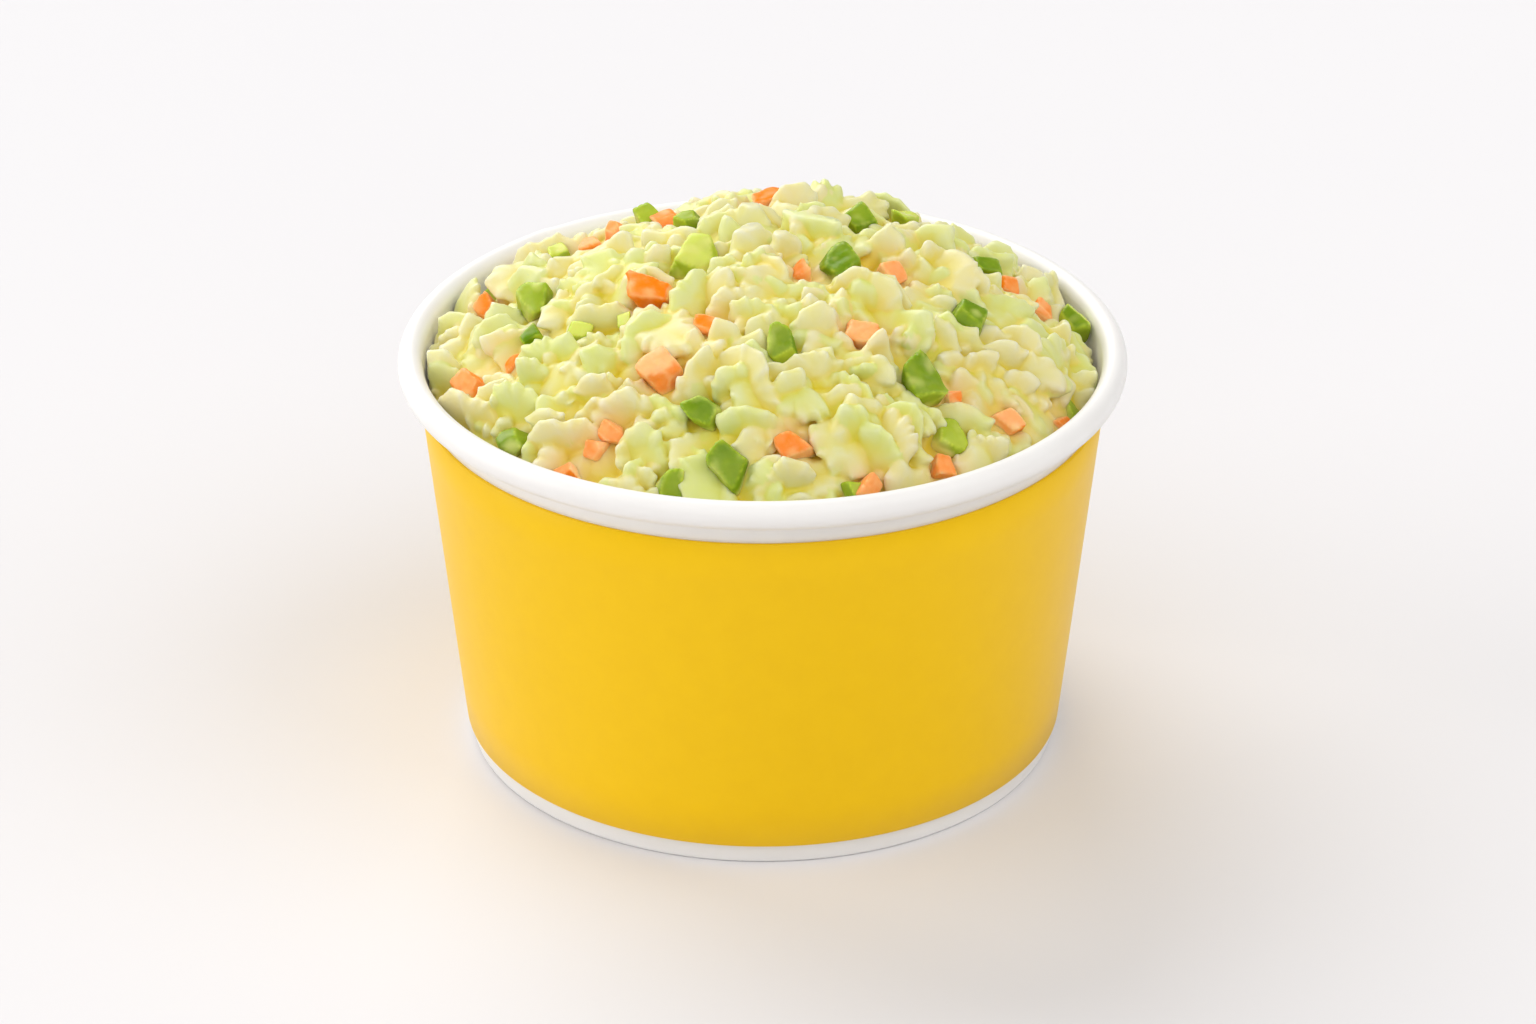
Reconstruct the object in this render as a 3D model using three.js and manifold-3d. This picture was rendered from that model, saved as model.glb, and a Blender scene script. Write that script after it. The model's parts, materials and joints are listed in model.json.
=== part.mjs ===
// A round paper tub heaped with finely chopped coleslaw.
// Millimetres, +Z up, with the origin on the table under the middle of the tub.
//
// The tub is made as such tubs are: a flared wall of white board with a rolled rim and a folded hem
// at its foot, a base disc whose skirt is caught in that hem, and a yellow paper wrap glued outside.
// The coleslaw is one solid: a domed core with the cut pieces that show fused onto it.

import * as THREE from "three";
import { mergeVertices } from "three/addons/utils/BufferGeometryUtils.js";
import Module from "manifold-3d";

const wasm = await Module();
wasm.setup();

// ---- Driving dimensions -------------------------------------------------------------------------

const RIM_RADIUS = 48; // outside of the rolled rim
const TUB_HEIGHT = 56; // table to the top of the rim
const FOOT_RADIUS = 39.4; // outside of the wall at the table
const FLARE = Math.tan(THREE.MathUtils.degToRad(6.0)); // how fast the wall widens upwards
const BOARD = 0.5; // thickness of the board
const TURNS = 64; // facets round the tub

const RIM_ROLL_HEIGHT = 3.7;
const HEM_HEIGHT = 5.5; // how far the folded hem reaches up inside the foot
const HEM_GAP = 0.9; // room between wall and hem, where the base's skirt is caught
const FOLD_RADIUS = 0.45; // outer corner of the folds

const BASE_TOP = 7; // inside floor of the tub
const SKIRT_CLEARANCE = 0.2; // each side of the base's skirt
const SKIRT_BOTTOM = 1.2;

const WRAP_BOTTOM = 2.8;
const WRAP_TOP = 49.4;
const WRAP_THICKNESS = 0.35;
const GLUE_LINE = 0.1; // between the wall and the wrap

const HEAP_CLEARANCE = 0.35; // between the coleslaw and the tub
const HEAP_EDGE = 50.5; // where the heap meets the wall
const HEAP_RISE = 18; // from that edge to the crown
const HEAP_FULLNESS = 2.2; // 2 is a plain dome, more is broader shoulders
const CROWN_OFFSET = 3; // how far the crown lies off the middle, towards +X

// Radius of the outside and the inside of the tub's wall at height z.
const wallOutside = (z) => FOOT_RADIUS + FLARE * z;
const wallInside = (z) => wallOutside(z) - BOARD;

// ---- Small tools --------------------------------------------------------------------------------

// Points of an elliptical arc in a lathe profile, from one angle to another in degrees.
function arc(r, z, acrossRadius, upRadius, fromDegrees, toDegrees, steps) {
  return Array.from({ length: steps + 1 }, (_, i) => {
    const degrees = fromDegrees + ((toDegrees - fromDegrees) * i) / steps;
    const angle = THREE.MathUtils.degToRad(degrees);
    return [r + acrossRadius * Math.cos(angle), z + upRadius * Math.sin(angle)];
  });
}

// A profile of [radius, height] points, listed clockwise, turned about Z.
function turned(profile, segments = TURNS) {
  const points = profile.map(([r, z]) => new THREE.Vector2(r, z)).reverse();
  return new THREE.LatheGeometry(points, segments).rotateX(Math.PI / 2);
}

// The same shape with shared corners merged, so that moving a corner moves every face that meets it.
function welded(geometry) {
  const bare = geometry.clone();
  bare.deleteAttribute("normal");
  bare.deleteAttribute("uv");
  return mergeVertices(bare, 1e-3);
}

function toSolid(geometry) {
  const merged = welded(geometry);
  return new wasm.Manifold(
    new wasm.Mesh({
      numProp: 3,
      vertProperties: merged.attributes.position.array,
      triVerts: new Uint32Array(merged.index.array),
    }),
  );
}

function toGeometry(solid) {
  const { vertProperties, triVerts } = solid.getMesh();
  return new THREE.BufferGeometry()
    .setAttribute("position", new THREE.BufferAttribute(vertProperties, 3))
    .setIndex(new THREE.BufferAttribute(triVerts, 1));
}

// Repeatable random numbers from 0 to 1 (mulberry32).
function seededRandom(seed) {
  let state = seed;
  return () => {
    state = (state + 0x6d2b79f5) | 0;
    let t = Math.imul(state ^ (state >>> 15), 1 | state);
    t = (t + Math.imul(t ^ (t >>> 7), 61 | t)) ^ t;
    return ((t ^ (t >>> 14)) >>> 0) / 4294967296;
  };
}

// ---- Paper tub ----------------------------------------------------------------------------------

// The wall, from the inside of the rim over the roll, down the outside, round the foot and up the
// folded hem, then back up the inside.
function wallGeometry() {
  const rollUp = RIM_ROLL_HEIGHT / 2;
  const rollZ = TUB_HEIGHT - rollUp;
  const rollAcross = (RIM_RADIUS - wallInside(rollZ)) / 2;
  const rollR = RIM_RADIUS - rollAcross;
  const hemOutside = (z) => wallInside(z) - HEM_GAP;
  const hemInside = (z) => hemOutside(z) - BOARD;
  const tuckZ = rollZ - rollUp;
  const outerFold = wallOutside(0) - FOLD_RADIUS;
  const innerFold = hemInside(0) + FOLD_RADIUS;
  return turned([
    ...arc(rollR, rollZ, rollAcross, rollUp, 180, -90, 12),
    [wallOutside(tuckZ), tuckZ],
    ...arc(outerFold, FOLD_RADIUS, FOLD_RADIUS, FOLD_RADIUS, 0, -90, 2),
    ...arc(innerFold, FOLD_RADIUS, FOLD_RADIUS, FOLD_RADIUS, -90, -180, 2),
    [hemInside(HEM_HEIGHT), HEM_HEIGHT],
    [hemOutside(HEM_HEIGHT), HEM_HEIGHT],
    [hemOutside(BOARD), BOARD],
    [wallInside(BOARD), BOARD],
    [wallInside(rollZ), rollZ],
  ]);
}

// The base disc with its skirt turned down into the gap behind the hem.
function baseGeometry() {
  const skirtOutside = (z) => wallInside(z) - SKIRT_CLEARANCE;
  const skirtInside = (z) => skirtOutside(z) - BOARD;
  const underside = BASE_TOP - BOARD;
  const cornerR = skirtOutside(underside) - BOARD;
  return turned([
    [0, BASE_TOP],
    ...arc(cornerR, underside, BOARD, BOARD, 90, 0, 3),
    [skirtOutside(SKIRT_BOTTOM), SKIRT_BOTTOM],
    [skirtInside(SKIRT_BOTTOM), SKIRT_BOTTOM],
    [skirtInside(underside), underside],
    [0, underside],
  ]);
}

// The yellow paper wrap, parallel to the wall, which leaves a white margin above and below.
function wrapGeometry() {
  const inside = (z) => wallOutside(z) + GLUE_LINE;
  const outside = (z) => inside(z) + WRAP_THICKNESS;
  return turned([
    [inside(WRAP_TOP), WRAP_TOP],
    [outside(WRAP_TOP), WRAP_TOP],
    [outside(WRAP_BOTTOM), WRAP_BOTTOM],
    [inside(WRAP_BOTTOM), WRAP_BOTTOM],
    [inside(WRAP_TOP), WRAP_TOP],
  ]);
}

// ---- Coleslaw -----------------------------------------------------------------------------------

const HEAP_RADIUS = wallInside(HEAP_EDGE) - HEAP_CLEARANCE;

// Height of the heap's mean surface over a point of the tub, and the way that surface faces there.
function heapTop(x, y) {
  const outward = Math.min(Math.hypot(x, y) / HEAP_RADIUS, 1);
  const fromCrown = Math.min(Math.hypot(x - CROWN_OFFSET * (1 - outward), y) / HEAP_RADIUS, 1);
  return HEAP_EDGE + HEAP_RISE * (1 - Math.pow(fromCrown, HEAP_FULLNESS));
}

function heapNormal(x, y) {
  const step = 0.5;
  const slopeX = (heapTop(x + step, y) - heapTop(x - step, y)) / (2 * step);
  const slopeY = (heapTop(x, y + step) - heapTop(x, y - step)) / (2 * step);
  return new THREE.Vector3(-slopeX, -slopeY, 1).normalize();
}

// The core that the pieces are fused to: it fills the tub and stands a little below the mean surface.
const CORE_DEPTH = 1.8;
const CORE_SEGMENTS = 36;
const CORE_RINGS = 5;
const CORE_SWELL = 0.5; // height of the core's own low bumps
const CORE_SWELL_LENGTH = 11; // from bump to bump

function coreSolid() {
  const floor = BASE_TOP + HEAP_CLEARANCE;
  const rimOfCore = HEAP_EDGE - CORE_DEPTH;
  const side = (z) => wallInside(z) - HEAP_CLEARANCE;
  const rings = Array.from({ length: CORE_RINGS }, (_, i) => {
    const r = side(rimOfCore) * (1 - (i + 1) / CORE_RINGS);
    return [r, HEAP_EDGE];
  });
  const geometry = welded(
    turned([[0, floor], [side(floor), floor], [side(rimOfCore), rimOfCore], ...rings].reverse(), CORE_SEGMENTS),
  );
  const position = geometry.attributes.position;
  const wave = (2 * Math.PI) / CORE_SWELL_LENGTH;
  for (let i = 0; i < position.count; i++) {
    const [x, y, z] = [position.getX(i), position.getY(i), position.getZ(i)];
    const swell = CORE_SWELL * Math.sin(wave * x) * Math.cos(wave * y);
    if (z === HEAP_EDGE) position.setZ(i, heapTop(x, y) - CORE_DEPTH + swell);
  }
  return toSolid(geometry);
}

// A bit of chopped cabbage: a thick leaf cut to an uneven outline and crinkled up and down.
function cabbageBit(random) {
  const corners = 6;
  const across = 3.3 + 2.1 * random();
  const along = across * (0.62 + 0.3 * random());
  const thickness = 1.7 + 0.9 * random();
  const crinkle = 0.5 + 0.7 * random();
  const bit = welded(new THREE.CylinderGeometry(1, 0.86, thickness, corners, 1).rotateX(Math.PI / 2));
  const position = bit.attributes.position;
  const reach = Array.from({ length: corners }, () => 0.78 + 0.34 * random());
  for (let i = 0; i < position.count; i++) {
    const [x, y, z] = [position.getX(i), position.getY(i), position.getZ(i)];
    const atCentre = Math.hypot(x, y) < 0.1;
    const corner = (Math.round((Math.atan2(y, x) / (2 * Math.PI)) * corners) + corners) % corners;
    const stretch = atCentre ? 1 : reach[corner];
    const lift = atCentre ? 0 : crinkle * (corner % 2 ? 1 : -1);
    position.setXYZ(i, x * across * stretch, y * along * stretch, z + lift);
  }
  return bit;
}

// A diced piece: a box whose corners are knocked out of true.
function diceBit(random, smallest, largest, skew) {
  const side = () => THREE.MathUtils.lerp(smallest, largest, random());
  const bit = welded(new THREE.BoxGeometry(side(), side(), side()));
  const position = bit.attributes.position;
  const knock = () => 1 + skew * (2 * random() - 1);
  for (let i = 0; i < position.count; i++) {
    position.setXYZ(i, position.getX(i) * knock(), position.getY(i) * knock(), position.getZ(i) * knock());
  }
  return bit;
}

const carrotBit = (random) => diceBit(random, 3.8, 6.2, 0.16);
const pepperBit = (random) => diceBit(random, 4.0, 7.4, 0.28);

// Sets a piece on the heap at x, y, tipped from the surface and lifted along its normal, then draws
// it in towards the middle until it clears the tub.
function settle(bit, x, y, random, steepest, lift) {
  const normal = heapNormal(x, y);
  const spin = new THREE.Quaternion().setFromAxisAngle(new THREE.Vector3(0, 0, 1), 2 * Math.PI * random());
  const tipAxis = new THREE.Vector3(1, 0, 0).applyAxisAngle(new THREE.Vector3(0, 0, 1), 2 * Math.PI * random());
  const tip = new THREE.Quaternion().setFromAxisAngle(tipAxis, steepest * random());
  const stand = new THREE.Quaternion().setFromUnitVectors(new THREE.Vector3(0, 0, 1), normal);
  bit.applyQuaternion(stand.multiply(tip).multiply(spin));
  bit.translate(x + lift * normal.x, y + lift * normal.y, heapTop(x, y) + lift * normal.z);

  const position = bit.attributes.position;
  let excess = 0;
  for (let i = 0; i < position.count; i++) {
    const room = wallInside(Math.min(position.getZ(i), TUB_HEIGHT - RIM_ROLL_HEIGHT / 2)) - HEAP_CLEARANCE;
    excess = Math.max(excess, Math.hypot(position.getX(i), position.getY(i)) - room);
  }
  const inward = -excess / Math.max(Math.hypot(x, y), 1);
  return bit.translate(x * inward * 1.05, y * inward * 1.05, 0);
}

// Where the pieces lie: a sunflower spiral spaces them evenly over the heap. Of every ten, one is
// carrot and one is green pepper, and the rest are cabbage.
const PIECES = 150;
const GOLDEN_ANGLE = Math.PI * (3 - Math.sqrt(5));
const JITTER = 1.1;

function coleslawGeometry() {
  const random = seededRandom(19);
  const wander = () => JITTER * (2 * random() - 1);
  let heap = coreSolid();
  for (let i = 0; i < PIECES; i++) {
    const r = (HEAP_RADIUS - 1.5) * Math.sqrt((i + 0.5) / PIECES);
    const x = r * Math.cos(i * GOLDEN_ANGLE) + wander();
    const y = r * Math.sin(i * GOLDEN_ANGLE) + wander();
    const make = { 3: carrotBit, 8: pepperBit }[i % 10] || cabbageBit;
    const steepest = make === cabbageBit ? 0.7 : 1.5;
    const lift = make === cabbageBit ? 0.8 * random() : -1.2 * random();
    const bit = settle(make(random), x, y, random, steepest, lift);
    heap = heap.add(toSolid(bit));
  }
  // Joining can seal a hollow between pieces or leave a loose scrap: only the heap's own skin is kept.
  const skins = heap.decompose().sort((a, b) => b.volume() - a.volume());
  return toGeometry(skins[0]);
}

// ---- The object ---------------------------------------------------------------------------------

function piece(name, geometry, color, roughness) {
  const material = new THREE.MeshStandardMaterial({ color, roughness, metalness: 0 });
  const mesh = new THREE.Mesh(geometry, material);
  mesh.name = name;
  return mesh;
}

const tub = new THREE.Group();
tub.add(
  piece("tub_wall", wallGeometry(), 0xf4f2ee, 0.45),
  piece("tub_base", baseGeometry(), 0xf1eee8, 0.6),
  piece("wrap", wrapGeometry(), 0xf3bd12, 0.55),
);

const coleslawTub = new THREE.Group();
coleslawTub.add(tub, piece("coleslaw", coleslawGeometry(), 0xe6db98, 0.5));

export default coleslawTub;
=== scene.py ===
# A round paper tub heaped with finely chopped coleslaw, on a pale studio table.
# Lengths are in metres and +Z is up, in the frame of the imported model.

import json
import math

import bmesh
import bpy
import numpy as np
from mathutils import Matrix, Vector, noise
from mathutils.bvhtree import BVHTree

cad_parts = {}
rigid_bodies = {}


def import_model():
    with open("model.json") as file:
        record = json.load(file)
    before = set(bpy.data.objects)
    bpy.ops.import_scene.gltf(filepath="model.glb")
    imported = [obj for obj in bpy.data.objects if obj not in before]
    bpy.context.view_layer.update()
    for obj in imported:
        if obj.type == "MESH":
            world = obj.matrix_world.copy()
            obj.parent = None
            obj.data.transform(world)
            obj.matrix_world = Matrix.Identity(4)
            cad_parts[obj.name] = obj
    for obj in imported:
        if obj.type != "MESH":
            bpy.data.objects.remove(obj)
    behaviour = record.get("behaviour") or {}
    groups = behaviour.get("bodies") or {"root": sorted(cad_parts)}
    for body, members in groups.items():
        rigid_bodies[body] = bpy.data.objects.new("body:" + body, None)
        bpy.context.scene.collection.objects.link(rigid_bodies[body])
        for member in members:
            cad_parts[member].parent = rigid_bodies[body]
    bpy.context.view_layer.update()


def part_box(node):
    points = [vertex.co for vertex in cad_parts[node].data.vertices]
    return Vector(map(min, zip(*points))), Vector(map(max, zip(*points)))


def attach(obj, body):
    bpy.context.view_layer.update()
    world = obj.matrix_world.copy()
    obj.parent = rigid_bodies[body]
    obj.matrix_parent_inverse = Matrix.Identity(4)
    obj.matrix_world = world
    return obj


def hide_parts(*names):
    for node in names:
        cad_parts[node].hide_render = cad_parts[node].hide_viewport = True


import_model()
mm = 0.001

# ---- Camera --------------------------------------------------------------------------------------
# A long portrait lens on a tripod in front of the tub, looking down on it at about 27 degrees.

camera_tilt = math.radians(27.3)
camera_away = 704.7 * mm
camera_aim = Vector((0.7, 0, 30.8)) * mm

camera = bpy.data.objects.new("camera", bpy.data.cameras.new("camera"))
camera.data.sensor_width = 36
camera.data.lens = 123.7
camera.data.clip_start, camera.data.clip_end = 0.05, 20
camera.location = camera_aim + camera_away * Vector((0, -math.cos(camera_tilt), math.sin(camera_tilt)))
camera.rotation_euler = (math.pi / 2 - camera_tilt, 0, 0)
bpy.context.scene.collection.objects.link(camera)
bpy.context.scene.camera = camera

# ---- Table top -----------------------------------------------------------------------------------
# A sweep of smooth matt white paper, far larger than the view, so that its edge never shows.
# It is uncoated and evenly white, with the faintest warm cast.

sweep_half = 2.5


def linear(code):
    """A hex sRGB colour as the linear RGBA that a shader takes."""
    channels = [int(code[i : i + 2], 16) / 255 for i in (1, 3, 5)]
    return (*[c / 12.92 if c <= 0.04045 else ((c + 0.055) / 1.055) ** 2.4 for c in channels], 1)


def add_node(tree, kind, links=None, **settings):
    """Adds a node. links gives each input, by name or number, a value or another node's output."""
    node = tree.nodes.new(kind)
    for name, value in settings.items():
        setattr(node, name, value)
    for key, value in (links or {}).items():
        if isinstance(value, bpy.types.NodeSocket):
            tree.links.new(value, node.inputs[key])
        else:
            node.inputs[key].default_value = value
    return node


def new_material(name):
    """An empty node material, with its tree and its output node."""
    material = bpy.data.materials.new(name)
    material.use_nodes = True
    material.node_tree.nodes.clear()
    return material, material.node_tree, add_node(material.node_tree, "ShaderNodeOutputMaterial")


def add_piece(name, vertices, faces, material, smooth_below=None):
    """A mesh object at the origin. Edges flatter than smooth_below degrees are shaded smooth."""
    mesh = bpy.data.meshes.new(name)
    mesh.from_pydata([tuple(v) for v in vertices], [], [tuple(f) for f in faces])
    mesh.materials.append(material)
    if smooth_below is not None:
        mesh.shade_smooth()
        mesh.set_sharp_from_angle(angle=math.radians(smooth_below))
    piece = bpy.data.objects.new(name, mesh)
    bpy.context.scene.collection.objects.link(piece)
    return piece


sweep_paper, tree, output = new_material("Matt white sweep paper")
shader = add_node(
    tree, "ShaderNodeBsdfPrincipled", {"Base Color": linear("#DBD9DA"), "Roughness": 0.9, "IOR": 1.4}
)
tree.links.new(shader.outputs[0], output.inputs["Surface"])

sweep_corners = [(x * sweep_half, y * sweep_half, 0) for x, y in ((-1, -1), (1, -1), (1, 1), (-1, 1))]
table_top = add_piece("table_top", sweep_corners, [(0, 1, 2, 3)], sweep_paper)

# ---- Studio light --------------------------------------------------------------------------------
# Four very large soft lights in a dim white room: one behind to the left, which gives the one faint
# shadow, one in front, one low at the left and one at the right. Each is listed with its direction
# round from +X, its height and its apparent width, all in degrees, and its strength.

room = bpy.data.worlds.new("Dim white room")
room.use_nodes = True
room.node_tree.nodes["Background"].inputs["Color"].default_value = linear("#FFFFFF")
room.node_tree.nodes["Background"].inputs["Strength"].default_value = 0.33
bpy.context.scene.world = room

for name, azimuth, elevation, width, energy in (
    ("back_left_light", 120, 36, 50, 2.05),
    ("front_light", 270, 42, 70, 1.25),
    ("left_light", 185, 17, 50, 1.4),
    ("right_light", 345, 45, 50, 1.0),
):
    lamp = bpy.data.objects.new(name, bpy.data.lights.new(name, "SUN"))
    lamp.data.energy = energy
    lamp.data.angle = math.radians(width)
    lamp.data.color = linear("#FFFFFF")[:3]
    towards = Vector((math.cos(math.radians(azimuth)), math.sin(math.radians(azimuth)), 0))
    towards = towards * math.cos(math.radians(elevation)) + Vector((0, 0, math.sin(math.radians(elevation))))
    lamp.rotation_euler = (-towards).to_track_quat("-Z", "Y").to_euler()
    bpy.context.scene.collection.objects.link(lamp)
bpy.context.scene.view_settings.view_transform = "Standard"

# ---- Tub wall ------------------------------------------------------------------------------------
# White cupstock: bleached board with a thin skin of polyethylene on both faces. The blank is
# wrapped round a cone and glued where it overlaps at the back, its top edge is rolled outwards
# into a bead, and its foot is folded up inside as a hem that grips the base.

_, wall_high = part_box("tub_wall")
rim_radius = wall_high.x
tub_height = wall_high.z
foot_radius = 39.4 * mm
flare = math.tan(math.radians(6.0))
board = 0.5 * mm
mid_height = 30 * mm
bead_height = 3.7 * mm
bead_margin = 0.1 * mm  # keeps the seam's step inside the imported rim
bead_end_out = 0.12 * mm
bead_end_up = 0.35 * mm
hem_height = 5.5 * mm
hem_gap = 0.9 * mm
fold = 0.45 * mm
turns = 256
seam_angle = math.radians(128)  # where the blank overlaps, measured from +X
seam_step = 0.35 * mm
seam_fade = 0.3  # in radians round the tub


def wall_outside(z):
    return foot_radius + flare * z


def wall_inside(z):
    return wall_outside(z) - board


def arc(r, z, across, up, start, end, steps):
    """Points of an elliptical arc in a profile, between two angles in degrees."""
    angles = np.radians(np.linspace(start, end, steps + 1))
    return [(r + across * math.cos(a), z + up * math.sin(a)) for a in angles]


def turned(profile, step=0.0, seam=seam_angle):
    """A closed (radius, height) profile, listed clockwise, turned about Z. step is how far it stands
    out over the glued overlap, from which it falls back to the round over about a centimetre."""
    angles = np.linspace(0, 2 * math.pi, turns, endpoint=False)
    past_seam = (angles - seam) % (2 * math.pi)
    lift = step * np.clip(1 - past_seam / seam_fade, 0, 1) ** 2
    r = np.array([p[0] for p in profile])
    z = np.array([p[1] for p in profile])
    radius = r[None, :] + lift[:, None]
    points = np.stack(
        [radius * np.cos(angles)[:, None], radius * np.sin(angles)[:, None], np.tile(z, (turns, 1))], -1
    )
    count = len(profile)
    faces = [
        (i * count + j, i * count + (j + 1) % count, k * count + (j + 1) % count, k * count + j)
        for i in range(turns)
        for k in [(i + 1) % turns]
        for j in range(count)
    ]
    return points.reshape(-1, 3), faces


bead_z = tub_height - bead_height / 2
bead_across = (rim_radius - bead_margin - wall_inside(bead_z)) / 2
bead_r = wall_inside(bead_z) + bead_across
tuck_z = bead_z - bead_height / 2
hem_outer = wall_inside(0) - hem_gap
wall_profile = [
    *arc(bead_r, bead_z, bead_across, bead_height / 2, 180, -110, 40),
    (wall_outside(tuck_z) + bead_end_out, tuck_z + bead_end_up),
    (wall_outside(tuck_z), tuck_z),
    (wall_outside(mid_height), mid_height),
    *arc(wall_outside(0) - fold, fold, fold, fold, 0, -90, 6),
    *arc(hem_outer - board + fold, fold, fold, fold, -90, -180, 6),
    (hem_outer - board + flare * hem_height, hem_height),
    (hem_outer + flare * hem_height, hem_height),
    (hem_outer + flare * board, board),
    (wall_inside(board), board),
    (wall_inside(mid_height), mid_height),
]

# The skin of polyethylene gives the board a soft satin sheen. Its felted fibres and faint clouds of
# denser pulp are drawn coarser than they are, so that they show at all.
cupstock, tree, output = new_material("PE-coated cupstock")
board_fibre = 1.11 * mm
board_cloud = 8.33 * mm
place = add_node(tree, "ShaderNodeTexCoord").outputs["Object"]
fibres = add_node(
    tree, "ShaderNodeTexNoise", {"Vector": place, "Scale": 1 / board_fibre, "Detail": 3.0, "Roughness": 0.6}
)
clouds = add_node(tree, "ShaderNodeTexNoise", {"Vector": place, "Scale": 1 / board_cloud, "Detail": 2.0})
tint = add_node(
    tree,
    "ShaderNodeMix",
    {"Factor": clouds.outputs["Fac"], "A": linear("#E6E3E0"), "B": linear("#EAE8E5")},
    data_type="RGBA",
)
relief = add_node(
    tree, "ShaderNodeBump", {"Strength": 0.12, "Distance": 0.05 * mm, "Height": fibres.outputs["Fac"]}
)
shader = add_node(
    tree,
    "ShaderNodeBsdfPrincipled",
    {
        "Base Color": tint.outputs["Result"],
        "Roughness": 0.38,
        "IOR": 1.5,
        "Normal": relief.outputs["Normal"],
        "Subsurface Weight": 0.5,
        "Subsurface Scale": 1.0 * mm,
        "Subsurface Radius": (1.0, 1.0, 1.0),
    },
)
tree.links.new(shader.outputs[0], output.inputs["Surface"])

tub_wall = add_piece("tub_wall_board", *turned(wall_profile, seam_step), cupstock, smooth_below=50)
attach(tub_wall, "root")
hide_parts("tub_wall")

# ---- Tub base ------------------------------------------------------------------------------------
# A disc of the same board, pressed flat with its skirt turned down and crimped inside the hem.

base_low, base_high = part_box("tub_base")
base_top = base_high.z
skirt_bottom = base_low.z
skirt_gap = 0.2 * mm
pinhole = 0.02 * mm  # what a turned disc leaves open at its middle, too fine to see


def skirt_outside(z):
    return wall_inside(z) - skirt_gap


underside = base_top - board
corner_r = skirt_outside(underside) - 2 * board
base_profile = [
    (pinhole, base_top),
    *arc(corner_r, underside - board, 2 * board, 2 * board, 90, 0, 8),
    (skirt_outside(skirt_bottom), skirt_bottom),
    (skirt_outside(skirt_bottom) - board, skirt_bottom),
    *arc(corner_r, underside - board, board, board, 0, 90, 6),
    (pinhole, underside),
]
tub_base = add_piece("tub_base_board", *turned(base_profile), cupstock, smooth_below=50)
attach(tub_base, "root")
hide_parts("tub_base")

# ---- Yellow wrap ---------------------------------------------------------------------------------
# A band of thin coated paper printed a solid warm yellow, glued round the wall with its own lapped
# seam at the back, just past the wall's. Its edges are pressed down until they meet the wall.

wrap_low, wrap_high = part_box("wrap")
wrap_thickness = 0.35 * mm
glue_line = 0.1 * mm
edge_rounding = 0.1 * mm
wrap_seam_angle = seam_angle + 0.05


def wrap_outside(z):
    return wall_outside(z) + glue_line + wrap_thickness


wrap_profile = [
    (wall_outside(wrap_high.z), wrap_high.z),
    (wrap_outside(wrap_high.z) - edge_rounding, wrap_high.z),
    (wrap_outside(wrap_high.z), wrap_high.z - edge_rounding),
    *[(wrap_outside(z), z) for z in np.linspace(wrap_high.z, wrap_low.z, 9)[1:-1]],
    (wrap_outside(wrap_low.z), wrap_low.z + edge_rounding),
    (wrap_outside(wrap_low.z) - edge_rounding, wrap_low.z),
    (wall_outside(wrap_low.z), wrap_low.z),
]

# A satin varnish gives the ink a low sheen. The ink lies a trifle unevenly, in mottles of a few
# millimetres, over the fine grain of the paper.
printed_paper, tree, output = new_material("Yellow printed paper with satin varnish")
paper_grain = 0.667 * mm
ink_mottle = 3.85 * mm
place = add_node(tree, "ShaderNodeTexCoord").outputs["Object"]
grain = add_node(tree, "ShaderNodeTexNoise", {"Vector": place, "Scale": 1 / paper_grain, "Detail": 2.0})
mottle = add_node(
    tree, "ShaderNodeTexNoise", {"Vector": place, "Scale": 1 / ink_mottle, "Detail": 4.0, "Roughness": 0.65}
)
ink = add_node(
    tree,
    "ShaderNodeMix",
    {"Factor": mottle.outputs["Fac"], "A": linear("#EABA00"), "B": linear("#F0C200")},
    data_type="RGBA",
)
relief = add_node(
    tree, "ShaderNodeBump", {"Strength": 0.10, "Distance": 0.04 * mm, "Height": grain.outputs["Fac"]}
)
shader = add_node(
    tree,
    "ShaderNodeBsdfPrincipled",
    {
        "Base Color": ink.outputs["Result"],
        "Roughness": 0.38,
        "IOR": 1.30,
        "Normal": relief.outputs["Normal"],
    },
)
tree.links.new(shader.outputs[0], output.inputs["Surface"])

wrap_form = turned(wrap_profile, seam_step, wrap_seam_angle)
wrap = add_piece("yellow_wrap", *wrap_form, printed_paper, smooth_below=60)
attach(wrap, "root")
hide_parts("wrap")

# ---- Coleslaw: the heap --------------------------------------------------------------------------
# Chopped and dressed salad, spooned in until it stands in a low dome above the rim.
# Everything in it lies on this dome and keeps inside the wall.

_, heap_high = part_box("coleslaw")
heap_edge = 50.5 * mm
heap_rise = 18 * mm
heap_fullness = 2.2  # 2 is a plain dome, more is broader shoulders
crown_offset = 3 * mm
heap_gap = 0.35 * mm
heap_top_gap = 0.1 * mm
heap_radius = wall_inside(heap_edge) - heap_gap


def heap_top(x, y):
    """Height of the heap's mean surface."""
    outward = np.minimum(np.hypot(x, y) / heap_radius, 1)
    from_crown = np.minimum(np.hypot(x - crown_offset * (1 - outward), y) / heap_radius, 1)
    return heap_edge + heap_rise * (1 - from_crown**heap_fullness)


def heap_normal(x, y):
    step = 0.5 * mm
    slope_x = (heap_top(x + step, y) - heap_top(x - step, y)) / (2 * step)
    slope_y = (heap_top(x, y + step) - heap_top(x, y - step)) / (2 * step)
    return Vector((-slope_x, -slope_y, 1)).normalized()


def point_array(mesh):
    points = np.empty(len(mesh.vertices) * 3)
    mesh.vertices.foreach_get("co", points)
    return points.reshape(-1, 3)


def mesh_arrays(mesh):
    """Vertices and triangles of a mesh, as arrays."""
    mesh.calc_loop_triangles()
    triangles = np.empty(len(mesh.loop_triangles) * 3, int)
    mesh.loop_triangles.foreach_get("vertices", triangles)
    return point_array(mesh), triangles.reshape(-1, 3)


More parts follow.
